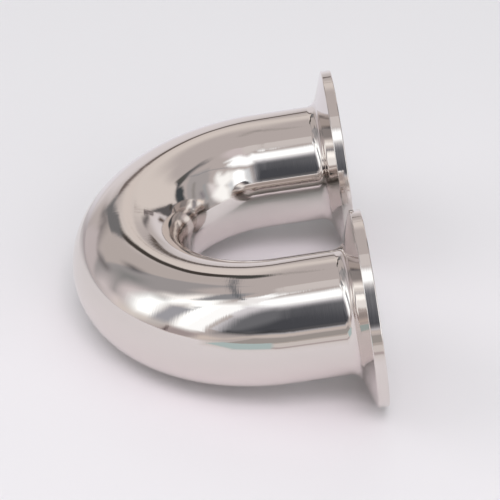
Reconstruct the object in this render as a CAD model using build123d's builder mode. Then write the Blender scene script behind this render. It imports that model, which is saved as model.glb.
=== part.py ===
"""A 180 degree sanitary clamp elbow, mirror polished inside and out.

It is welded up from four pieces: two 90 degree elbows that meet at the crown of the
bend, and a turned clamp ferrule on the straight end of each elbow. The welds are ground
flush, so the tubes run on into each other with no step.

The part lies as it rests on a table: on the back edges of both ferrule rims and on the
underside of the crown. +X points out of the ports, +Y from the near arm to the far one,
+Z up, and the origin is under the middle of its bounding box.
"""

import os
from math import acos, atan2, cos, hypot, radians, sin, tan

from build123d import *

# Driving dimensions, in millimetres and degrees

# Tube
tube_od = 32.0
wall = 1.5

# Elbows: centre line radius, angle of each, and the straight stub that the ferrule is welded to
bend_radius = 38.0
elbow_angle = 90.0
weld_stub = 1.5

# Ferrule: a short tube with a flange whose back slopes, so that a clamp draws two together
flange_od = 50.5
ferrule_length = 21.5
rim_thickness = 2.85
back_slope = 20.0
neck_fillet = 3.0
rim_round = 0.3

# Gasket groove: a round-bottomed ring in the face, held at the middle of the gasket's bead
groove_diameter = 43.5
groove_depth = 1.5
groove_radius = 2.0
groove_lip_round = 0.25

# Worked out from the dimensions above

tube_r = tube_od / 2
bore_r = tube_r - wall
flange_r = flange_od / 2
port_reach = weld_stub + ferrule_length
neck_depth = rim_thickness + (flange_r - tube_r) * tan(radians(back_slope))

# The lean of the bend's plane at rest, which puts the rims' back edges as low as the crown
rim_edge_r = flange_r - rim_round
rim_edge_reach = bend_radius + port_reach - rim_thickness + rim_round
edge_span = hypot(rim_edge_r, rim_edge_reach)
lean = acos((tube_r - rim_round) / edge_span) - atan2(rim_edge_reach, rim_edge_r)

# Where the centre of the bend stands, so that the part's box is centred over the origin
crown_x = -bend_radius * cos(lean) - tube_r
rim_x = (port_reach - rim_round) * cos(lean) + rim_edge_r * sin(lean) + rim_round
bend_centre = Vector(-(crown_x + rim_x) / 2, 0, bend_radius * sin(lean) + tube_r)

# The plane of the bend: its x runs along the arms to the ports, its y from arm to arm
bend_plane = Plane(bend_centre, x_dir=(cos(lean), 0, sin(lean)), z_dir=(-sin(lean), 0, cos(lean)))

os.makedirs("parts", exist_ok=True)

arms = {"near": -1, "far": 1}

for arm, side in arms.items():
    # The arm's axis leaves the bend at bend_radius, and runs out to the port
    arm_start = bend_plane.from_local_coords((0, side * bend_radius, 0))
    face_centre = bend_plane.from_local_coords((port_reach, side * bend_radius, 0))
    arm_axis = Axis(arm_start, bend_plane.x_dir)

    # Elbow: a ring of the tube's section, carried straight along the stub and round to the crown
    with BuildPart() as elbow:
        with BuildSketch(Plane(arm_start, x_dir=bend_plane.y_dir, z_dir=bend_plane.x_dir)) as ring:
            Circle(tube_r)
            Circle(bore_r, mode=Mode.SUBTRACT)
        extrude(amount=weld_stub)
        bend_axis = Axis(bend_centre, bend_plane.z_dir * side)
        revolve(ring.sketch, axis=bend_axis, revolution_arc=elbow_angle)
    elbow.part.label = f"elbow_{arm}"
    export_step(elbow.part, f"parts/elbow_{arm}.step")

    # Ferrule: turned from its half section, in which x is depth behind the face and y is radius
    section_plane = Plane(face_centre, x_dir=-bend_plane.x_dir, z_dir=-bend_plane.z_dir)
    with BuildPart() as ferrule:
        with BuildSketch(section_plane):
            with BuildLine():
                Polyline(
                    (0, bore_r),
                    (0, flange_r),
                    (rim_thickness, flange_r),
                    (neck_depth, tube_r),
                    (ferrule_length, tube_r),
                    (ferrule_length, bore_r),
                    close=True,
                )
            make_face()
            fillet(vertices().group_by(Axis.Y)[-1], rim_round)
            neck_corner = vertices().filter_by_position(Axis.Y, tube_r, tube_r).sort_by(Axis.X)[0]
            fillet(neck_corner, neck_fillet)
            with Locations((groove_depth - groove_radius, groove_diameter / 2)):
                Circle(groove_radius, mode=Mode.SUBTRACT)
            groove_lips = vertices().filter_by_position(Axis.X, 0, 0).sort_by(Axis.Y)[1:3]
            fillet(groove_lips, groove_lip_round)
        revolve(axis=arm_axis)
    ferrule.part.label = f"ferrule_{arm}"
    export_step(ferrule.part, f"parts/ferrule_{arm}.step")
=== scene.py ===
"""Looks of a mirror polished 180 degree sanitary clamp elbow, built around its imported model.

Two arms, near and far, each with an elbow of bent tube and a turned clamp ferrule, are
carried as closed half sections round the centre line of the bend. They lie on a plain pale
table under soft lamps, in a light tent that only the steel's reflections see: its cards are
what the steel mirrors.

Lengths are in millimetres and angles in degrees, unless a name says otherwise.
"""

import logging
from dataclasses import dataclass, field
from enum import Enum

import bpy
import numpy as np
from mathutils import Matrix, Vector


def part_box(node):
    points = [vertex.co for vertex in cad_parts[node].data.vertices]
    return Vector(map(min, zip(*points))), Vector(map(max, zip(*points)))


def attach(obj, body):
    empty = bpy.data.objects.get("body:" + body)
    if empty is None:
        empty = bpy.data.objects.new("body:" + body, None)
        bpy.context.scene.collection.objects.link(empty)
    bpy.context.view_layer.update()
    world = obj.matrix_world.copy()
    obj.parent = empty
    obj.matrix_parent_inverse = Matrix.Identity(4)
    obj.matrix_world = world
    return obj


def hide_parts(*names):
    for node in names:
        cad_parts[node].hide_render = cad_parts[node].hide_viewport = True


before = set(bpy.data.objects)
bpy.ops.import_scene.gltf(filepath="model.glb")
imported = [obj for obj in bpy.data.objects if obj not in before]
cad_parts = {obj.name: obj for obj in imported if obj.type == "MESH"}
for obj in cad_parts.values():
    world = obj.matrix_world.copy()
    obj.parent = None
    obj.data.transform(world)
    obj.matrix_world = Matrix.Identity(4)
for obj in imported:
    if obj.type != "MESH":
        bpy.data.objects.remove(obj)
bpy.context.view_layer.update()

log = logging.getLogger("clamp_elbow")

MM = 0.001
STEEL_SLOT = "polished_stainless"
MARKS = "polishing_marks"
# In the saddle and in the bores the steel mirrors itself many times
MIRROR_BOUNCES = 10
# How near, in millimetres, counts as on the tube's skin, and how square a normal as out of it
ON_SKIN = 1e-6
SQUARE = 0.999


# Small helpers


def linear(hex_colour: str) -> np.ndarray:
    """The linear values of an sRGB hex colour.

    Args:
        hex_colour: Six hex digits, with or without a leading hash.

    Returns:
        Red, green and blue, each from 0 to 1.
    """
    digits = hex_colour.lstrip("#")
    srgb = np.array([int(digits[i : i + 2], 16) / 255 for i in (0, 2, 4)])
    return np.where(srgb <= 0.04045, srgb / 12.92, ((srgb + 0.055) / 1.055) ** 2.4)


def smooth_step(value: np.ndarray) -> np.ndarray:
    """0 below 0, 1 above 1, and 3t² - 2t³ between."""
    t = np.clip(value, 0, 1)
    return t * t * (3 - 2 * t)


def add_node(
    tree: bpy.types.NodeTree, kind: str, inputs: dict | None = None, **settings
) -> bpy.types.Node:
    """Adds a node to a tree.

    Args:
        tree: The tree that the node goes into.
        kind: The node's type, such as "ShaderNodeBump".
        inputs: Its inputs by name or number, each a value, or a socket to link from.
        settings: The node's own settings by name.

    Returns:
        The new node.
    """
    node = tree.nodes.new(kind)
    for name, value in settings.items():
        setattr(node, name, value)
    for name, value in (inputs or {}).items():
        if isinstance(value, bpy.types.NodeSocket):
            tree.links.new(value, node.inputs[name])
        else:
            node.inputs[name].default_value = value
    return node


def quad_mesh(name: str, points: np.ndarray, quads: np.ndarray) -> bpy.types.Mesh:
    """Makes a mesh of quads.

    Args:
        name: The mesh's name.
        points: Its points in millimetres, in any arrangement that ends in three.
        quads: Four point numbers for each quad, in any arrangement that ends in four.

    Returns:
        The mesh, in metres.
    """
    mesh = bpy.data.meshes.new(name)
    mesh.vertices.add(points.size // 3)
    mesh.vertices.foreach_set("co", (points * MM).astype(np.float32).ravel())
    mesh.loops.add(quads.size)
    mesh.loops.foreach_set("vertex_index", quads.astype(np.int32).ravel())
    mesh.polygons.add(quads.size // 4)
    mesh.polygons.foreach_set("loop_start", np.arange(0, quads.size, 4, dtype=np.int32))
    mesh.update(calc_edges=True)
    return mesh


# Finishes


@dataclass(frozen=True)
class PolishedSteel:
    """AISI 304 stainless steel, buffed to a mirror after welding.

    The eye sees no colour of its own but the room, a third darker and slightly warm. The
    buffing wheel leaves hair lines round the tube, which fray the edges of bright reflections
    along it, a weak ripple, and a soft haze in places. Sizes are in millimetres. The hair lines
    are drawn about ten times as coarse as real ones, so that they show.
    """

    tint: str = "DFD8D4"
    roughness: float = 0.02
    haze: float = 0.05
    haze_size: float = 14.0
    haze_range: tuple[float, float] = (0.45, 0.75)
    tube_radius: float = 16.0
    line_spacing: float = 0.3
    line_length: float = 5.0
    line_depth: float = 0.005
    ripple_size: float = 5.0
    ripple_depth: float = 0.01

    def material(self) -> bpy.types.Material:
        """Builds the steel's shader: hair lines on a ripple as bumps, and haze as roughness."""
        steel = bpy.data.materials.new(STEEL_SLOT)
        steel.use_nodes = True
        tree = steel.node_tree
        tree.nodes.clear()
        marks = add_node(tree, "ShaderNodeAttribute", attribute_name=MARKS)
        # The attribute is in radii round the tube and millimetres along it
        across, along = self.tube_radius / self.line_length, 1 / self.line_spacing
        stretched = add_node(
            tree,
            "ShaderNodeVectorMath",
            {0: marks.outputs["Vector"], 1: (across, across, along)},
            operation="MULTIPLY",
        )
        lines = add_node(
            tree,
            "ShaderNodeTexNoise",
            {"Vector": stretched.outputs[0], "Scale": 1.0, "Detail": 2.0, "Roughness": 0.6},
        )
        where = add_node(tree, "ShaderNodeTexCoord").outputs["Object"]
        ripple = add_node(
            tree,
            "ShaderNodeTexNoise",
            {"Vector": where, "Scale": 1 / (self.ripple_size * MM), "Detail": 1.0},
        )
        patches = add_node(
            tree,
            "ShaderNodeTexNoise",
            {"Vector": where, "Scale": 1 / (self.haze_size * MM), "Detail": 2.0},
        )
        roughness = add_node(
            tree,
            "ShaderNodeMapRange",
            {
                "Value": patches.outputs["Fac"],
                "From Min": self.haze_range[0],
                "From Max": self.haze_range[1],
                "To Min": self.roughness,
                "To Max": self.haze,
            },
        )
        waved = add_node(
            tree,
            "ShaderNodeBump",
            {"Height": ripple.outputs["Fac"], "Strength": 1.0, "Distance": self.ripple_depth * MM},
        )
        lined = add_node(
            tree,
            "ShaderNodeBump",
            {
                "Height": lines.outputs["Fac"],
                "Normal": waved.outputs["Normal"],
                "Strength": 1.0,
                "Distance": self.line_depth * MM,
            },
        )
        shader = add_node(
            tree,
            "ShaderNodeBsdfPrincipled",
            {
                "Base Color": (*linear(self.tint), 1.0),
                "Metallic": 1.0,
                "Roughness": roughness.outputs["Result"],
                "Normal": lined.outputs["Normal"],
            },
        )
        add_node(tree, "ShaderNodeOutputMaterial", {"Surface": shader.outputs["BSDF"]})
        return steel


# The object


@dataclass(frozen=True)
class Tube:
    """The sizes that the elbows and the ferrules share."""

    outer_radius: float = 16.0
    wall: float = 1.5
    bend_radius: float = 38.0
    weld_stub: float = 1.5
    ferrule_length: float = 21.5
    flange_radius: float = 25.25
    rim_thickness: float = 2.85
    rim_round: float = 0.3

    @property
    def bore_radius(self) -> float:
        """The radius of the passage."""
        return self.outer_radius - self.wall

    @property
    def port_reach(self) -> float:
        """From the bend's centre to a port's face, along the arms."""
        return self.weld_stub + self.ferrule_length

    @property
    def crown_station(self) -> float:
        """From a port's face to the crown, along the centre line."""
        return self.port_reach + self.bend_radius * np.pi / 2


class Arm(Enum):
    """The two arms of the bend, and the side of the bend's centre that each is on."""

    NEAR = -1
    FAR = 1


@dataclass(frozen=True)
class BendPlane:
    """The plane of the bend as it rests, on both rims' back edges and on the crown."""

    tube: Tube

    @property
    def lean(self) -> float:
        """The angle in radians that the arms rise at, towards the ports."""
        t = self.tube
        edge_radius = t.flange_radius - t.rim_round
        edge_reach = t.bend_radius + t.port_reach - t.rim_thickness + t.rim_round
        span = np.hypot(edge_radius, edge_reach)
        tilt = np.arccos((t.outer_radius - t.rim_round) / span)
        return float(tilt - np.arctan2(edge_reach, edge_radius))

    @property
    def axes(self) -> np.ndarray:
        """The plane's own axes as rows: out of the ports, from arm to arm, and up."""
        c, s = np.cos(self.lean), np.sin(self.lean)
        return np.array([(c, 0, s), (0, 1, 0), (-s, 0, c)])

    @property
    def centre(self) -> np.ndarray:
        """The bend's centre, which puts the middle of the part's box over the origin."""
        t, c, s = self.tube, np.cos(self.lean), np.sin(self.lean)
        crown = -t.bend_radius * c - t.outer_radius
        rim = (t.port_reach - t.rim_round) * c + (t.flange_radius - t.rim_round) * s + t.rim_round
        return np.array([-(crown + rim) / 2, 0, t.bend_radius * s + t.outer_radius])

    def stations(self, arm: Arm, along: np.ndarray) -> tuple[np.ndarray, np.ndarray, np.ndarray]:
        """Follows the centre line of an arm from its port, straight and then round the bend.

        Up to port_reach the line is straight. From there its angle round the bend's centre
        is the length past port_reach over the bend's radius.

        Args:
            arm: The arm to follow.
            along: Lengths along the centre line from the port's face.

        Returns:
            For each length the point on the line, the direction away from the bend's centre,
            and the direction in which the line runs, in the row frame.
        """
        t, side = self.tube, arm.value
        straight = np.maximum(t.port_reach - along, 0)
        turn = np.maximum(along - t.port_reach, 0) / t.bend_radius
        zero = np.zeros_like(turn)
        out = np.stack([-np.sin(turn), side * np.cos(turn), zero], -1)
        run = np.stack([-np.cos(turn), -side * np.sin(turn), zero], -1)
        point = t.bend_radius * out + straight[:, None] * (1.0, 0, 0)
        return point @ self.axes + self.centre, out @ self.axes, run @ self.axes


@dataclass(frozen=True)
class Stroke:
    """A stretch of a half section: points and outward normals, in (station, radius)."""

    points: np.ndarray
    normals: np.ndarray

    @classmethod
    def line(cls, start: tuple, end: tuple, step: float) -> "Stroke":
        """A straight stretch, whose outside is on its left.

        Args:
            start: Its first point.
            end: Its last point.
            step: The longest that a part of it may be.

        Returns:
            The stretch in equal steps.
        """
        a, b = np.array(start, float), np.array(end, float)
        length = np.hypot(*(b - a))
        t = np.linspace(0, 1, max(1, int(np.ceil(length / step))) + 1)[:, None]
        normal = np.array([a[1] - b[1], b[0] - a[0]]) / length
        return cls(a + t * (b - a), np.tile(normal, (len(t), 1)))

    @classmethod
    def arc(
        cls, centre: tuple, radius: float, start: float, end: float, hollow: bool, steps: int
    ) -> "Stroke":
        """A round stretch: centre + radius (cos a, sin a).

        Args:
            centre: The arc's centre.
            radius: The arc's radius.
            start: The angle of its first point.
            end: The angle of its last point.
            hollow: Whether the outside is on the side of the centre.
            steps: How many parts it has.

        Returns:
            The arc in equal steps.
        """
        a = np.radians(np.linspace(start, end, steps + 1))
        spoke = np.stack([np.cos(a), np.sin(a)], -1)
        return cls(np.array(centre) + radius * spoke, -spoke if hollow else spoke)


@dataclass(frozen=True)
class WeldTraces:
    """What is left to see of the welds once they are ground flush: shallow waves.

    Each is a low ridge across the tube, h = H(a) exp(-((s - s0(a)) / w)²), whose height H and
    place s0 wander with the angle a round the tube as sums of a few waves. A wave is given by
    its size, how often it goes round, and how many of the weld's phases it is shifted by.
    """

    height: float = 0.010
    width: float = 0.7
    wander: float = 0.35
    phase_rate: float = 1.7
    height_waves: tuple[tuple, ...] = ((0.6, 0, 0), (0.25, 3, 1), (0.3, 7, 2))
    place_waves: tuple[tuple, ...] = ((1.0, 5, 1), (0.5, 11, 0))

    def relief(self, along: np.ndarray, around: np.ndarray, welds: tuple[float, ...]) -> np.ndarray:
        """The height of the waves.

        Args:
            along: Stations, from the port's face.
            around: Angles round the tube, in radians.
            welds: The stations of the welds.

        Returns:
            The height at each station and angle.
        """
        total = np.zeros(np.broadcast(along, around).shape)
        for weld in welds:
            phase = weld * self.phase_rate
            height, place = (
                sum(size * np.cos(turns * around + shift * phase) for size, turns, shift in waves)
                for waves in (self.height_waves, self.place_waves)
            )
            place = weld + self.wander * place
            total = total + self.height * height * np.exp(-(((along - place) / self.width) ** 2))
        return total


@dataclass
class Piece:
    """A closed half section carried along an arm's centre line and right round the tube."""

    name: str
    node: str
    arm: Arm
    plane: BendPlane
    traces: WeldTraces = field(default_factory=WeldTraces)
    columns: int = 256

    def section(self) -> list[Stroke]:
        """The strokes of the half section, which close on themselves."""
        raise NotImplementedError

    def mesh(self) -> bpy.types.Mesh:
        """Builds the skin.

        A point at station s, radius r and angle a stands at C(s) + r (cos a O(s) + sin a Z),
        where C is the centre line, O points away from the bend's centre and Z is the bend
        plane's normal. Its normal turns with it. On the tube's outside r is raised by the
        weld traces, and the normal leans by their slope.

        Returns:
            The mesh, in metres in the row frame, with its exact normals.
        """
        strokes = self.section()
        spots = np.concatenate([s.points[:-1] for s in strokes])
        first = np.concatenate([s.normals[:-1] for s in strokes])
        last = np.concatenate([s.normals[1:] for s in strokes])
        rows, columns = len(spots), self.columns
        angle = np.arange(columns) * 2 * np.pi / columns
        centre, out, run = self.plane.stations(self.arm, spots[:, 0])
        up = self.plane.axes[2]
        spoke = np.cos(angle)[None, :, None] * out[:, None] + np.sin(angle)[None, :, None] * up
        swing = np.cos(angle)[None, :, None] * up - np.sin(angle)[None, :, None] * out[:, None]

        outer = self.plane.tube.outer_radius
        skin = (np.abs(spots[:, 1] - outer) < ON_SKIN)[:, None]
        welds = (self.plane.tube.ferrule_length, self.plane.tube.crown_station)
        raise_by, dip = self.slopes(spots[:, :1], angle[None], welds)
        radius = spots[:, 1:] + np.where(skin, raise_by, 0)
        points = centre[:, None] + radius[..., None] * spoke

        def turned(flat: np.ndarray, at: np.ndarray) -> np.ndarray:
            """Carries section normals round the tube, leaning them where the skin has relief."""
            normal = flat[:, None, :1] * run[at][:, None] + flat[:, None, 1:] * spoke[at]
            lean = dip[0][at][..., None] * run[at][:, None]
            lean = lean + dip[1][at][..., None] * swing[at] / outer
            on_skin = (skin[at] & (flat[:, 1:] > SQUARE))[..., None]
            normal = normal - np.where(on_skin, lean, 0)
            return normal / np.linalg.norm(normal, axis=-1, keepdims=True)

        here = np.arange(rows)
        after = (here + 1) % rows
        return self.closed_skin(points, turned(first, here), turned(last, after), spots, angle)

    def slopes(
        self, along: np.ndarray, around: np.ndarray, welds: tuple[float, ...]
    ) -> tuple[np.ndarray, tuple[np.ndarray, np.ndarray]]:
        """The weld traces' height, and its slopes along and round the tube."""
        tiny = 1e-3
        height = self.traces.relief(along, around, welds)
        return height, (
            (self.traces.relief(along + tiny, around, welds) - height) / tiny,
            (self.traces.relief(along, around + tiny, welds) - height) / tiny,
        )

    def closed_skin(
        self,
        points: np.ndarray,
        first: np.ndarray,
        last: np.ndarray,
        spots: np.ndarray,
        angle: np.ndarray,
    ) -> bpy.types.Mesh:
        """Joins rows of points into quads, round the tube and round the section.

        Args:
            points: The points, by row of the section and column round the tube.
            first: The normals at each band's first row.
            last: The normals at each band's last row.
            spots: The rows' places in the half section.
            angle: The columns' angles.

        Returns:
            The mesh, its normals, its UV map in millimetres and its polishing marks' axis.
        """
        rows, columns = points.shape[:2]
        outer = self.plane.tube.outer_radius
        # A quad's corners as steps down the rows and on round the columns. Far, the angle turns
        # against the way that the line runs, so the quads turn round as well
        near, far = ((0, 0), (0, 1), (1, 1), (1, 0)), ((0, 0), (1, 0), (1, 1), (0, 1))
        corners = far if self.arm is Arm.FAR else near
        row, column = np.meshgrid(np.arange(rows), np.arange(columns), indexing="ij")
        places = [(row + down) % rows * columns + (column + on) % columns for down, on in corners]
        quads = np.stack(places, -1)
        normals = np.stack([np.roll(last if down else first, -on, 1) for down, on in corners], -2)

        mesh = quad_mesh(self.name, points, quads)
        mesh.polygons.foreach_set("use_smooth", np.ones(rows * columns, bool))

        strides = np.hypot(*np.diff(spots, axis=0, append=spots[:1]).T)
        run = np.concatenate([[0], np.cumsum(strides)])
        wide = outer * 2 * np.pi / columns
        flat = [np.stack([(column + on) * wide, run[row + down]], -1) for down, on in corners]
        flat = np.stack(flat, -2)
        mesh.uv_layers.new(name="UVMap").data.foreach_set("uv", flat.astype(np.float32).ravel())

        marks = np.empty((rows, columns, 3), np.float32)
        marks[..., 0], marks[..., 1] = np.cos(angle), np.sin(angle)
        # Behind the flange and on the rim the wheel's lines lie round the axis too
        marks[..., 2] = (spots[:, 0] + np.maximum(spots[:, 1] - outer, 0))[:, None]
        place = mesh.attributes.new(MARKS, "FLOAT_VECTOR", "POINT")
        place.data.foreach_set("vector", marks.ravel())
        mesh.normals_split_custom_set(normals.reshape(-1, 3).astype(np.float32))
        return mesh

    def build(self, finish: bpy.types.Material) -> bpy.types.Object:
        """Makes the piece, dresses it in its finish and sets it in the frame.

        Args:
            finish: The piece's material.

        Returns:
            The piece, standing for its CAD node.
        """
        mesh = self.mesh()
        mesh.materials.append(finish)
        piece = bpy.data.objects.new(self.name, mesh)
        bpy.context.scene.collection.objects.link(piece)
        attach(piece, "root")
        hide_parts(self.node)
        return piece


@dataclass
class Elbow(Piece):
    """A 90 degree bend of tube, from the ferrule's weld to the weld at the crown."""

    step: float = 0.55
    bore_step: float = 1.1

    def section(self) -> list[Stroke]:
        """The wall in half section: outside, crown end, inside and ferrule end."""
        t = self.plane.tube
        start, end = t.ferrule_length, t.crown_station
        outer, bore = t.outer_radius, t.bore_radius
        return [
            Stroke.line((start, outer), (end, outer), self.step),
            Stroke.line((end, outer), (end, bore), t.wall),
            Stroke.line((end, bore), (start, bore), self.bore_step),
            Stroke.line((start, bore), (start, outer), t.wall),
        ]


@dataclass
class Ferrule(Piece):
    """A short tube with a clamp flange, whose back slopes and whose face has a gasket groove."""

    back_slope: float = 20.0
    neck_fillet: float = 3.0
    groove_middle: float = 21.75
    groove_depth: float = 1.5
    groove_radius: float = 2.0
    lip_round: float = 0.25
    step: float = 0.5
    face_step: float = 1.0
    rim_step: float = 0.7
    bore_step: float = 1.5
    lip_parts: int = 6
    groove_parts: int = 24
    rim_parts: int = 8
    fillet_parts: int = 16

    def section(self) -> list[Stroke]:
        """The turned half section, from the bore up the face, over the rim and back."""
        t, line, arc = self.plane.tube, Stroke.line, Stroke.arc
        outer, bore, rim, end = t.outer_radius, t.bore_radius, t.flange_radius, t.ferrule_length
        # The lip rounds touch the face and the groove's circle, so their centres are where
        # circles one lip radius larger and one lip radius deeper cross
        groove = (self.groove_depth - self.groove_radius, self.groove_middle)
        inset = self.lip_round - groove[0]
        reach = self.groove_radius + self.lip_round
        spread = float(np.sqrt(reach**2 - inset**2))
        meet = float(np.degrees(np.arctan2(spread, inset)))
        low, high = groove[1] - spread, groove[1] + spread
        lip = self.lip_round
        # The back's two rounds touch the lines on both sides of their corners
        slope = np.radians(self.back_slope)
        along = np.array([np.sin(slope), -np.cos(slope)])
        half = np.tan((np.pi / 2 - slope) / 2)
        foot = np.array([t.rim_thickness + (rim - outer) * np.tan(slope), outer])
        edge = np.array([t.rim_thickness, rim])
        edge_cut, foot_cut = t.rim_round * half, self.neck_fillet * half
        fillet_start = 180 + self.back_slope
        edge_middle = (t.rim_thickness - edge_cut, rim - t.rim_round)
        foot_middle = (foot[0] + foot_cut, outer + self.neck_fillet)
        return [
            line((0, bore), (0, low), self.face_step),
            arc((lip, low), lip, 180, 180 - meet, False, self.lip_parts),
            arc(groove, self.groove_radius, -meet, meet, True, self.groove_parts),
            arc((lip, high), lip, meet - 180, -180, False, self.lip_parts),
            line((0, high), (0, rim - t.rim_round), self.face_step),
            arc((t.rim_round, rim - t.rim_round), t.rim_round, 180, 90, False, self.rim_parts),
            line((t.rim_round, rim), (t.rim_thickness - edge_cut, rim), self.rim_step),
            arc(edge_middle, t.rim_round, 90, self.back_slope, False, self.rim_parts),
            line(edge + along * edge_cut, foot - along * foot_cut, self.face_step),
            arc(foot_middle, self.neck_fillet, fillet_start, 270, True, self.fillet_parts),
            line((foot[0] + foot_cut, outer), (end, outer), self.step),
            line((end, outer), (end, bore), t.wall),
            line((end, bore), (0, bore), self.bore_step),
        ]


# The studio


@dataclass(frozen=True)
class Card:
    """A card, cloth or softbox hung in the light tent.

    Its outline is in azimuth and elevation, seen from the object: azimuth 0 is straight
    behind it from the camera, 90 beyond its ports, and 180 towards the camera. With a
    breadth it is a narrow strip along the outline instead. Its shade is the colour that
    the steel shows it in, and its glow makes it brighter.
    """

    name: str
    outline: tuple[tuple[float, float], ...]
    shade: str
    soft: float = 1.5
    glow: float = 1.0
    breadth: float = 0.0

    def cover(self, azimuth: np.ndarray, elevation: np.ndarray) -> np.ndarray:
        """How much of each direction the card covers.

        The distance from the outline, taken negative inside it, falls off by a smooth step
        over the card's softness on either side.

        Args:
            azimuth: Azimuths of the directions.
            elevation: Their elevations.

        Returns:
            From 0, outside the card, to 1, inside it.
        """
        corners = np.array(self.outline)
        middle = corners[:, 0].mean()
        turned = (azimuth - middle + 180) % 360 - 180 + middle
        margin = self.soft + self.breadth
        low, high = corners.min(0) - margin, corners.max(0) + margin
        close = (turned > low[0]) & (turned < high[0])
        close &= (elevation > low[1]) & (elevation < high[1])
        points = np.stack([turned[close], elevation[close]], -1)
        nearest = np.full(len(points), np.inf)
        inside = np.zeros(len(points), bool)
        for i in range(len(corners) - (self.breadth > 0)):
            a, b = corners[i], corners[(i + 1) % len(corners)]
            edge, reach = b - a, points - a
            t = np.clip(reach @ edge / (edge @ edge), 0, 1)
            nearest = np.minimum(nearest, np.linalg.norm(reach - t[:, None] * edge, axis=1))
            side = edge[0] * reach[:, 1] - edge[1] * reach[:, 0]
            rises = (a[1] <= points[:, 1]) & (b[1] > points[:, 1]) & (side > 0)
            falls = (a[1] > points[:, 1]) & (b[1] <= points[:, 1]) & (side < 0)
            inside ^= rises | falls
        if self.breadth:
            distance = nearest - self.breadth / 2
        else:
            distance = np.where(inside, -nearest, nearest)
        cover = np.zeros(azimuth.shape)
        cover[close] = smooth_step(0.5 - distance / (2 * self.soft))
        return cover


@dataclass
class LightTent:
    """A dome of cloth round the object with cards and softboxes on it, and boards at its foot.

    Only mirrored rays meet it, so it neither lights the table nor shows itself. Its foot goes
    on inwards as a clear apron, flat on the table, that carries the boards. On the apron each
    degree below the horizon stands for a step inwards from the foot of the dome.
    """

    cards: tuple[Card, ...]
    steel: PolishedSteel
    cloth: str = "B0A5A1"
    radius: float = 400.0
    apron_step: float = 10.0
    apron_lift: float = 0.2
    columns: int = 1440
    dome_rows: int = 361
    apron_rows: int = 74
    apron_low: float = -29.6

    def colours(self, azimuth: np.ndarray, elevation: np.ndarray) -> np.ndarray:
        """Lays the cards over the cloth, or over the clear apron, each as far as it covers.

        Args:
            azimuth: Azimuths of the directions.
            elevation: Their elevations.

        Returns:
            The light from each direction, linear, before the steel's own tint, and with it
            how much of what lies behind is hidden.
        """
        tint = linear(self.steel.tint)
        cloth = np.append(linear(self.cloth) / tint, 1.0)
        light = np.where(elevation[..., None] < 0, 0.0, cloth)
        for card in self.cards:
            cover = card.cover(azimuth, elevation)[..., None]
            light += cover * (np.append(linear(card.shade) / tint * card.glow, 1.0) - light)
        light[..., :3] /= np.maximum(light[..., 3:], 1e-6)
        return light

    def build(self) -> bpy.types.Object:
        """Makes the tent as one grid right round, from the apron's inner edge to the zenith.

        The dome is radius (cos e sin a, cos e cos a, sin e) for azimuth a and elevation e. On
        the apron the distance from the middle is radius + step times e, which is below 0.
        """
        around = np.arange(self.columns) * 360 / self.columns - 180
        up = np.append(
            np.linspace(self.apron_low, 0, self.apron_rows, endpoint=False),
            np.linspace(0, 90, self.dome_rows),
        )
        azimuth, elevation = np.meshgrid(around, up)
        a, e = np.radians(azimuth), np.radians(elevation)
        apron = self.radius + self.apron_step * elevation
        reach = np.where(elevation < 0, apron, self.radius * np.cos(e))
        height = np.maximum(self.radius * np.sin(e), self.apron_lift)
        points = np.stack([reach * np.sin(a), reach * np.cos(a), height], -1)
        column = np.arange(self.columns)
        after = (column + 1) % self.columns
        row = np.arange(len(up) - 1)[:, None] * self.columns
        above = row + self.columns
        quads = np.stack([row + column, row + after, above + after, above + column], -1)
        mesh = quad_mesh("light_tent", points, quads)
        light = mesh.attributes.new("light", "FLOAT_COLOR", "POINT")
        light.data.foreach_set("color", self.colours(azimuth, elevation).astype(np.float32).ravel())
        mesh.materials.append(self.material())
        tent = bpy.data.objects.new("light_tent", mesh)
        bpy.context.scene.collection.objects.link(tent)
        tent.visible_camera = tent.visible_diffuse = tent.visible_shadow = False
        tent.visible_transmission = tent.visible_volume_scatter = False
        return tent

    def material(self) -> bpy.types.Material:
        """Glows in the colours laid on the tent's points, and is clear where none is laid."""
        cloth = bpy.data.materials.new("tent_cloth")
        cloth.use_nodes = True
        tree = cloth.node_tree
        tree.nodes.clear()
        light = add_node(tree, "ShaderNodeAttribute", attribute_name="light")
        glow = add_node(
            tree, "ShaderNodeEmission", {"Color": light.outputs["Color"], "Strength": 1.0}
        )
        clear = add_node(tree, "ShaderNodeBsdfTransparent")
        mix = add_node(
            tree,
            "ShaderNodeMixShader",
            {0: light.outputs["Alpha"], 1: clear.outputs["BSDF"], 2: glow.outputs["Emission"]},
        )
        add_node(tree, "ShaderNodeOutputMaterial", {"Surface": mix.outputs["Shader"]})
        cloth.cycles.emission_sampling = "NONE"
        return cloth


@dataclass
class Table:
    """A plain pale table top, matt, of which the camera sees no edge."""

    half: float = 2500.0
    colour: str = "ECE9EC"
    roughness: float = 0.9

    def build(self) -> bpy.types.Object:
        """Makes the table as one flat face under the object."""
        h = self.half * MM
        mesh = bpy.data.meshes.new("table")
        mesh.from_pydata([(-h, -h, 0), (h, -h, 0), (h, h, 0), (-h, h, 0)], [], [(0, 1, 2, 3)])
        top = bpy.data.materials.new("table_top")
        top.use_nodes = True
        tree = top.node_tree
        tree.nodes.clear()
        shader = add_node(
            tree,
            "ShaderNodeBsdfPrincipled",
            {
                "Base Color": (*linear(self.colour), 1.0),
                "Roughness": self.roughness,
                "Specular IOR Level": 0.0,
            },
        )
        add_node(tree, "ShaderNodeOutputMaterial", {"Surface": shader.outputs["BSDF"]})
        mesh.materials.append(top)
        table = bpy.data.objects.new("table", mesh)
        bpy.context.scene.collection.objects.link(table)
        return table


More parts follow.
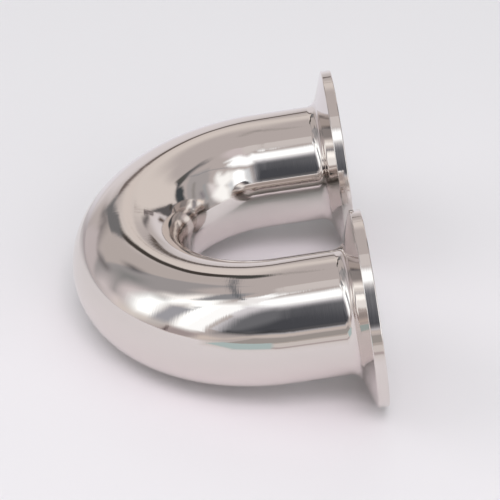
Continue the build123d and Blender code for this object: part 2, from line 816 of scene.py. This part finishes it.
@dataclass(frozen=True)
class Softbox:
    """A large lamp, with its direction and its angles as seen from the object, in degrees."""

    name: str
    azimuth: float
    elevation: float
    width: float
    height: float
    radiance: float
    colour: str = "FFF4FA"
    distance: float = 2000.0

    def build(self) -> bpy.types.Object:
        """Makes the lamp, facing the object, as large as its angles say at its distance."""
        a, e = np.radians(self.azimuth), np.radians(self.elevation)
        towards = np.array([np.sin(a) * np.cos(e), np.cos(a) * np.cos(e), np.sin(e)])
        light = bpy.data.lights.new(self.name, "AREA")
        light.shape = "RECTANGLE"
        sides = 2 * self.distance * MM * np.tan(np.radians([self.width, self.height]) / 2)
        light.size, light.size_y = sides
        light.energy = self.radiance * np.pi * sides[0] * sides[1]
        light.color = linear(self.colour)
        lamp = bpy.data.objects.new(self.name, light)
        bpy.context.scene.collection.objects.link(lamp)
        lamp.matrix_world = aimed(towards * self.distance, -towards, 0.0)
        lamp.visible_camera = lamp.visible_glossy = False
        return lamp


@dataclass
class SoftLight:
    """Soft light from all round, most of it from one softbox in front."""

    sky: str = "DAFFF0"
    sky_strength: float = 0.28
    backdrop: str = "EBE9EC"
    softboxes: tuple[Softbox, ...] = (
        Softbox("softbox_left", -120.0, 53.0, 28.0, 18.0, 0.8),
        Softbox("softbox_above", 180.0, 55.0, 26.0, 16.0, 7.9),
        Softbox("softbox_right", 137.0, 28.0, 44.0, 44.0, 1.06),
        Softbox("fill_above", 178.0, 66.0, 50.0, 22.0, 0.95),
        Softbox("fill_front", 180.0, 35.0, 60.0, 30.0, 1.2),
        Softbox("fill_left", -90.0, 38.0, 50.0, 40.0, 0.94),
        Softbox("fill_back", 0.0, 40.0, 50.0, 40.0, 0.65),
        Softbox("fill_top", 180.0, 84.0, 50.0, 50.0, 0.3),
    )

    def build(self) -> None:
        """Sets the world and the lamps.

        The sky only lights. What the camera sees past the table, also in a reflection or
        through glass, is a pale backdrop.
        """
        world = bpy.data.worlds.new("studio")
        world.use_nodes = True
        tree = world.node_tree
        tree.nodes.clear()
        sky = add_node(
            tree,
            "ShaderNodeBackground",
            {"Color": (*linear(self.sky), 1.0), "Strength": self.sky_strength},
        )
        backdrop = add_node(
            tree,
            "ShaderNodeBackground",
            {"Color": (*linear(self.backdrop), 1.0), "Strength": 1.0},
        )
        ray = add_node(tree, "ShaderNodeLightPath")
        seen = ray.outputs["Is Camera Ray"]
        for kind in ("Is Glossy Ray", "Is Transmission Ray"):
            seen = add_node(
                tree, "ShaderNodeMath", {0: seen, 1: ray.outputs[kind]}, operation="MAXIMUM"
            ).outputs["Value"]
        mix = add_node(
            tree,
            "ShaderNodeMixShader",
            {0: seen, 1: sky.outputs["Background"], 2: backdrop.outputs["Background"]},
        )
        add_node(tree, "ShaderNodeOutputWorld", {"Surface": mix.outputs["Shader"]})
        bpy.context.scene.world = world
        for softbox in self.softboxes:
            softbox.build()


def aimed(place: np.ndarray, forward: np.ndarray, roll: float) -> Matrix:
    """The matrix of a camera or lamp that looks forward from its place.

    Args:
        place: Where it stands.
        forward: The unit vector that it looks along.
        roll: How far it is rolled, its right side going up, in degrees.

    Returns:
        Its matrix, in metres.
    """
    right = np.cross(forward, (0.0, 0.0, 1.0))
    right /= np.linalg.norm(right)
    up = np.cross(right, forward)
    c, s = np.cos(np.radians(roll)), np.sin(np.radians(roll))
    right, up = c * right + s * up, c * up - s * right
    matrix = np.eye(4)
    matrix[:3] = np.stack([right, up, -forward, place * MM], -1)
    return Matrix(matrix.tolist())


@dataclass
class PhotoCamera:
    """The camera, at the photograph's angle, distance and length of lens."""

    place: tuple[float, float, float] = (-32.427, -487.517, 324.975)
    azimuth: float = -4.6776
    elevation: float = 32.0028
    roll: float = 1.4363
    focal_pixels: float = 2151.94
    frame_pixels: float = 500.0
    sensor: float = 36.0
    clip: tuple[float, float] = (10.0, 20000.0)

    def build(self) -> bpy.types.Object:
        """Makes the camera and gives it to the scene."""
        data = bpy.data.cameras.new("camera")
        data.sensor_width = self.sensor
        data.lens = self.focal_pixels / self.frame_pixels * self.sensor
        data.clip_start, data.clip_end = np.array(self.clip) * MM
        camera = bpy.data.objects.new("camera", data)
        bpy.context.scene.collection.objects.link(camera)
        a, e = np.radians(self.azimuth), np.radians(self.elevation)
        forward = np.array([-np.sin(a) * np.cos(e), np.cos(a) * np.cos(e), -np.sin(e)])
        camera.matrix_world = aimed(np.array(self.place), forward, self.roll)
        bpy.context.scene.camera = camera
        return camera


# The cards in the order in which they are hung, the later ones over the earlier. Outlines are
# (azimuth, elevation) pairs, then come the shade and the softness of the edge.
CARDS: tuple[Card, ...] = (
    Card(
        "back_board",
        (
            (-34.8, -28.2), (-9.4, -31), (10.2, -25.2), (12.6, 3.6), (-11.2, 3.5), (-34.2, -2.3),
        ),
        "CEC6C8", 1.7,
    ),
    Card(
        "left_board",
        (
            (-103.5, -1.3), (-60.5, -15.7), (-34.6, -33.8), (-28.4, 1.2), (-109.8, -3.4),
        ),
        "A39999", 10.2,
    ),
    Card(
        "front_board",
        (
            (241.6, -11.6), (233, -8.2), (219, -11.9), (212.2, -24.8), (195.9, -26.8), (180, -26.3),
            (164.2, -27.2), (148.3, -25.4), (139.8, -22.5), (139.6, 0.6), (240.1, 0.4),
        ),
        "C5BAB5", 3.4,
    ),
    Card(
        "front_board_edge",
        (
            (160.1, -24.5), (170.2, -25), (177.7, -25.6), (189.6, -22.7),
        ),
        "A79A98", 0.7, breadth=2,
    ),
    Card(
        "front_board_far",
        (
            (162.7, -15.8), (179.3, -11.1), (187, -14.1), (187, 0.8), (162.2, 0.3),
        ),
        "AA9F99", 1.8,
    ),
    Card(
        "teal_board",
        (
            (213.6, -20.9), (196.5, -27.1), (180.5, -26.1), (183.6, -14.9), (185.3, 0.4),
            (209.6, 0.3), (211.8, -13.2),
        ),
        "A6B2B0", 1.2,
    ),
    Card(
        "top_cloth_right",
        (
            (40.9, 85.6), (174.7, 71.1), (199.2, 95.8), (19.8, 94.6),
        ),
        "C4B7B6", 4.2,
    ),
    Card("top_cloth_left", ((-190.6, 75.5), (-86.5, 83.7), (-59, 92.2), (-200, 95)), "C6BCB8", 1.5),
    Card(
        "left_cloth",
        (
            (-102.7, 2), (-53.5, 0.7), (-52.1, 72), (-80.1, 59.3), (-103.2, 63.6),
        ),
        "96908F", 4.2,
    ),
    Card(
        "left_cloth_low",
        (
            (-92.4, -4.6), (-66.6, 4.4), (-72, 24.9), (-85.1, 34.7),
        ),
        "D5C7C6", 10.2,
    ),
    Card("left_band", ((-78.4, 12.9), (-67.6, 33.3), (-69.5, 36.2)), "727270", 10.2, breadth=4.3),
    Card(
        "beige_left",
        (
            (-57.8, 21.4), (-30, 23.2), (-30.7, 36.6), (-26.3, 56.5), (-34.3, 62.8), (-52, 57.3),
            (-54.3, 52.7),
        ),
        "AFA49F", 1.8,
    ),
    Card("dark_spot", ((-55.9, 40.7), (-54.3, 39.9)), "292A32", 6.4, breadth=3.4),
    Card(
        "low_strip_left",
        (
            (-60.9, 20.4), (-47.8, 14.4), (-30.3, 23.6), (-29.8, 18.2),
        ),
        "665F5F", 5.3, breadth=3.2,
    ),
    Card("low_left", ((-63.8, 0.8), (-35.3, -1.1), (-37.7, 18.8), (-53.3, 15.2)), "B7ABAA", 3),
    Card(
        "bright_low",
        (
            (-29.4, 1.1), (-24.2, 10.7), (-23.8, 18), (-17.1, 23), (-11.7, 26.7), (-5.6, 26.4),
            (-0.8, 22.9), (6.5, 10.5), (16.3, 27.5), (26.4, 27.6), (28.9, 17.5), (35.8, -2.6),
        ),
        "CEC4C3", 5.3,
    ),
    Card(
        "beige_back",
        (
            (-25.8, 29.4), (-1, 34.4), (8, 30.1), (20, 26.7), (30.4, 28.4), (44.9, 26.7),
            (55.4, 26), (55.1, 43.5), (53.5, 48.7), (50.9, 52), (39.9, 52), (19.3, 54.8),
            (-4, 46.8), (-19.5, 60.6),
        ),
        "CEC2BB", 5.6,
    ),
    Card("beige_gap", ((-17.1, 26.6), (-0.3, 34), (4.7, 32.3), (-11.5, 37.8)), "CCBFB8", 1.5),
    Card(
        "dark_strip_left",
        (
            (-25.5, 50.1), (-23.6, 39.3), (-28.9, 28.5), (-16.6, 37.1), (-16.6, 36.9),
            (-18.1, 45.2), (-14.5, 49.5), (-11.5, 56.2), (-13, 60.6), (-23.8, 53.1),
        ),
        "403A36", 1.4,
    ),
    Card(
        "dark_strip_left_top",
        (
            (-20.3, 53.1), (-23.3, 58.7), (-19.5, 61.5), (-14.5, 60.5), (-12.2, 59.6),
            (-11.1, 54.7), (-15.6, 51.1),
        ),
        "454340", 2.4,
    ),
    Card(
        "dark_strip_left_tail",
        (
            (-10, 56.5), (-9.3, 60), (-8.6, 64.5),
        ),
        "9A918C", 1.2, breadth=2.2,
    ),
    Card(
        "grey_drop_left",
        (
            (-32.2, 29.7), (-26.9, 35.1), (-17.9, 33.2), (-22.4, 25.9), (-16.5, 27.1),
            (-28.9, 18.2), (-27.9, 23.2),
        ),
        "6D6A6A", 1.4,
    ),
    Card("thin_strip_left", ((-17.8, 25.4), (-8.9, 30.5)), "6D615D", 1.2, breadth=3.4),
    Card(
        "thin_strip_middle",
        (
            (-9.6, 29.8), (-4.1, 27.3), (-1, 25.2), (1.2, 23.8), (3.5, 22),
        ),
        "5F5550", 0.8, breadth=3.2,
    ),
    Card(
        "thin_strip_right",
        (
            (-0.3, 36), (10.8, 33.4), (21.3, 29.7), (25.7, 23.7), (30.7, 19.8),
        ),
        "71625E", 0.7, breadth=0.2,
    ),
    Card(
        "grey_drop_right",
        (
            (17.3, 30.2), (38.6, 28.4), (42.7, 29.5), (47.4, 27.1), (55.7, 27.9), (46.2, 23.9),
            (39.8, 8.1), (35.5, 11.5), (27.5, 24.1),
        ),
        "595555", 1.2,
    ),
    Card("grey_drop_fold", ((45.2, 28.1), (41.7, 23.2)), "46403B", 1.2, breadth=2.6),
    Card("thin_strip_smear", ((8.1, 27.8), (12.2, 27.7), (12.7, 27.8)), "5A5454", 2.5, breadth=3.9),
    Card("thin_strip_inner", ((11.7, 31.9), (16.6, 30.1), (19.6, 27)), "6E6463", 0.5, breadth=2.6),
    Card("brown_spot", ((23.3, 17.7), (24.2, 15)), "3F2A16", 2.3, breadth=4),
    Card(
        "dark_strip_right",
        (
            (56.3, 17.6), (54, 30.7), (53.6, 36.1), (54.4, 46.9), (58.8, 46.5), (63.5, 46.9),
            (66.9, 42), (66.5, 36.7), (68, 29.2), (67.1, 17.2),
        ),
        "404345", 2.2,
    ),
    Card(
        "dark_strip_right_top",
        (
            (47.7, 52.2), (55.5, 47.8), (58.7, 47.2), (62.9, 52.9), (64.7, 56.5), (62.4, 65.9),
            (57.4, 62.3), (51.7, 55.8),
        ),
        "504E4B", 2.2,
    ),
    Card(
        "dark_strip_right_fade",
        (
            (59.3, 59.6), (65, 56.8), (69.7, 66.2), (77.5, 71.4), (64.1, 71.5), (59.1, 70.9),
        ),
        "615F60", 6.6,
    ),
    Card("dark_strip_right_link", ((54.8, 49.7), (56.4, 46.4)), "3E4146", 1, breadth=2.2),
    Card(
        "right_cloth",
        (
            (72.1, 7.6), (110.4, 0.6), (107, 55.7), (99, 65.5), (71.1, 58.8),
        ),
        "A09997", 3.1,
    ),
    Card("right_fold", ((81.1, 28), (83, 46.8)), "857F7A", 3.4, breadth=3.3),
    Card("right_fold_dark", ((99.8, 18.1), (99.6, 40.3)), "989797", 2.1, breadth=4),
    Card("right_blotch", ((95.2, 24), (94, 30)), "766F73", 4.9, breadth=3.4),
    Card(
        "warm_card",
        (
            (84, 12.8), (91.8, 12.6), (93.7, 17.3), (88.8, 21.5), (82.7, 23.2),
        ),
        "E2D0C4", 2,
    ),
    Card("dark_foot", ((88.5, -2.5), (95.9, -2.7), (98.3, 9.5), (88.5, 11.6)), "68615D", 3.7),
    Card(
        "right_line",
        (
            (68.7, 57.2), (84.8, 57.9), (92.2, 60.1), (104.6, 61.5), (119.9, 60.5), (130, 59.8),
            (138.5, 58),
        ),
        "7B7C7F", 1, breadth=0.5,
    ),
    Card(
        "right_fringe",
        (
            (108.3, 9.5), (114.9, 2.9), (118.5, 29.9), (115, 37.6), (106.1, 40.4),
        ),
        "D8CFCD", 4.9,
    ),
    Card("right_grey", ((133.3, 8), (141.8, 6.4), (141.4, 35.5), (133, 30.2)), "C8C7C8", 1.4),
    Card(
        "right_softbox",
        (
            (117.2, 1), (129.7, -0.3), (134.4, 19.5), (131.4, 27.8), (143, 34.8), (144.3, 49.9),
            (136.7, 51.6), (130.4, 48.1), (127, 48.5), (126.3, 52.9), (120.1, 55), (117.7, 50.3),
            (116.9, 44.1), (118, 37), (119.8, 31.7), (108.6, 18),
        ),
        "FAF6F2", 5.7,
    ),
    Card(
        "front_fringe",
        (
            (159.4, 13.4), (166.3, 12.9), (168.8, 47.3), (159.5, 46.9),
        ),
        "CFCECF", 3.1,
    ),
    Card(
        "front_softbox",
        (
            (140.2, 7.5), (162.8, 4.8), (157.8, 29.2), (159.8, 43), (157.9, 47), (151.9, 49.2),
            (146.4, 47.7), (144.6, 43.7),
        ),
        "FFFFFE", 4.8, glow=1.4,
    ),
    Card(
        "front_flag_rim",
        (
            (168.6, 12), (213.7, 16.4), (219.3, 18.7), (214.3, 40.9), (222.6, 49.3), (217.9, 58.7),
            (205.3, 58.4), (194.9, 59.9), (187, 56.6), (182.2, 57.7), (174.4, 47.2),
        ),
        "D0CACC", 1.2,
    ),
    Card(
        "front_flag",
        (
            (170.6, 19.4), (179.7, 18.6), (189.6, 14.9), (200.8, 14.4), (215.1, 13.2),
            (212.4, 37.7), (210, 40.9), (206.4, 47.4), (200.8, 52.3), (192.5, 55), (186.7, 53.6),
            (179.1, 55.5), (173.1, 48.6),
        ),
        "676669", 6.8,
    ),
    Card(
        "front_flag_dark",
        (
            (169.4, 15), (203.7, 19.2), (185.1, 38.1), (184.8, 50.4), (182.5, 44.3),
        ),
        "454549", 5.1,
    ),
    Card(
        "front_flag_foot",
        (
            (176.9, 16.1), (188.3, 18), (198.1, 16.1), (209.6, 17.2),
        ),
        "070707", 4.2, breadth=2.5,
    ),
    Card(
        "front_shelf",
        (
            (169.8, 9.7), (199.9, 10.4), (223, -1.8), (224.8, 7.8), (208.8, 5.5), (194.9, 12.3),
            (187.6, 13.2), (170.8, 10.4),
        ),
        "C7B8AF", 2.9,
    ),
    Card(
        "front_shelf_low",
        (
            (170, -1.6), (219.7, -2.8), (213.7, -4.4), (195, 8.6), (185, 8), (169.9, 7.3),
        ),
        "968E89", 0.8,
    ),
    Card(
        "left_softbox",
        (
            (229.6, 13.3), (236.9, 12.3), (242.9, 43.4), (249.7, 46.7), (257, 37.1), (252.1, 13.2),
            (262.3, 6.1), (268.9, 23), (267.9, 34.2), (258.4, 37.5), (261.2, 46.8), (252.6, 65.8),
            (237.7, 53.5), (223.6, 58.2), (221, 57.6),
        ),
        "FFFFFC", 10.2, glow=1.43,
    ),
    Card(
        "left_softbox_rim",
        (
            (221.3, 12.3), (222, 21.6), (221.2, 26.9), (220, 36.2), (218.6, 42.1), (217.8, 47.3),
            (215.4, 53.5), (221.7, 57.3), (232.3, 53.8), (230.3, 39.7), (230.3, 23.8),
            (232.2, 12.3),
        ),
        "FEFCFA", 1.7,
    ),
    Card(
        "blue_gap",
        (
            (241.3, 8.9), (252.5, 2.6), (251.1, 26.2), (252, 36), (247.8, 39.1), (239.7, 41.5),
            (242.9, 43.8), (239.9, 47.3),
        ),
        "9A989C", 2.9,
    ),
    Card("left_low", ((227.6, -1.4), (245.2, -4), (241.4, 9.8), (222.4, 7.6)), "9C8E8C", 3.9),
    Card("left_low_dark", ((241.4, 1.1), (240.5, 7.9)), "5C4D4E", 1.2, breadth=2.2),
    Card("left_low_pale", ((249.5, 5), (274.3, -5.9), (274.4, 6.6), (242.8, 9.5)), "CFC3BB", 8.7),
    Card(
        "streaks",
        (
            (250, 52.3), (256, 59.8), (259.2, 60.6), (265.2, 58.5), (261.8, 47.1), (268.1, 44.3),
            (263.4, 47.1), (257.9, 49.5),
        ),
        "FFF6F0", 10.2, glow=1.07,
    ),
    Card(
        "overhead_softbox",
        (
            (134.3, 63), (141.3, 69.3), (127.5, 69.6), (141.7, 75.2), (158, 76.2), (173.2, 69.5),
            (186.5, 74.2), (190.2, 71.4), (213.2, 68.1), (202.5, 75.2), (223.9, 76.8),
            (228.4, 70.9), (231, 69.4), (228.2, 67.6), (213.6, 58.4), (200, 57.7), (188.6, 57.3),
            (179.4, 58.8), (176.6, 54.3), (167.4, 53), (155.9, 56.5), (146.2, 57.7),
        ),
        "FFFEFD", 4.2, glow=1.08,
    ),
    Card(
        "overhead_dim",
        (
            (210.4, 60.9), (231.1, 62.4), (236.4, 68.3), (213.5, 72.5),
        ),
        "EBE6E4", 2.9,
    ),
    Card(
        "left_smear",
        (
            (238.1, 64.9), (247.7, 74.2), (259.3, 73.3), (264.3, 66.8), (257.6, 58.2),
            (254.9, 51.8), (248.2, 56.5), (246.4, 60.1), (241.5, 63.6),
        ),
        "868486", 3.6,
    ),
    Card(
        "left_line",
        (
            (231, 66), (250.5, 69.3), (259.1, 70.3), (270.3, 71.3), (284.9, 71.3), (299.9, 70.1),
            (310, 68.4), (320.6, 66.3), (328.5, 63.3), (334.5, 60.3),
        ),
        "5A5C60", 1.4, breadth=1.5,
    ),
)


# Making it all


def report(piece: bpy.types.Object, node: str) -> None:
    """Logs a piece's size and how far its box is from its CAD node's."""
    corners = np.empty(len(piece.data.vertices) * 3, np.float32)
    piece.data.vertices.foreach_get("co", corners)
    points = corners.reshape(-1, 3) / MM
    low, high = (np.array(corner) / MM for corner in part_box(node))
    off = max(np.abs(points.min(0) - low).max(), np.abs(points.max(0) - high).max())
    triangles = len(piece.data.polygons) * 2
    log.info("%s: %d triangles, box within %.3f mm of %s", piece.name, triangles, off, node)


def main() -> None:
    """Builds the arms, the studio and the camera."""
    logging.basicConfig(level=logging.INFO, format="%(name)s: %(message)s")
    bpy.context.scene.view_settings.view_transform = "Standard"
    bpy.context.scene.cycles.glossy_bounces = MIRROR_BOUNCES
    PhotoCamera().build()
    steel = PolishedSteel()
    finish = steel.material()
    plane = BendPlane(Tube())
    for arm in Arm:
        side = arm.name.lower()
        for kind, name in ((Elbow, "elbow"), (Ferrule, "ferrule")):
            node = f"{name}_{side}"
            piece = kind(f"polished_{node}", node, arm, plane)
            report(piece.build(finish), node)
    LightTent(CARDS, steel).build()
    Table().build()
    SoftLight().build()


if __name__ == "__main__":
    main()
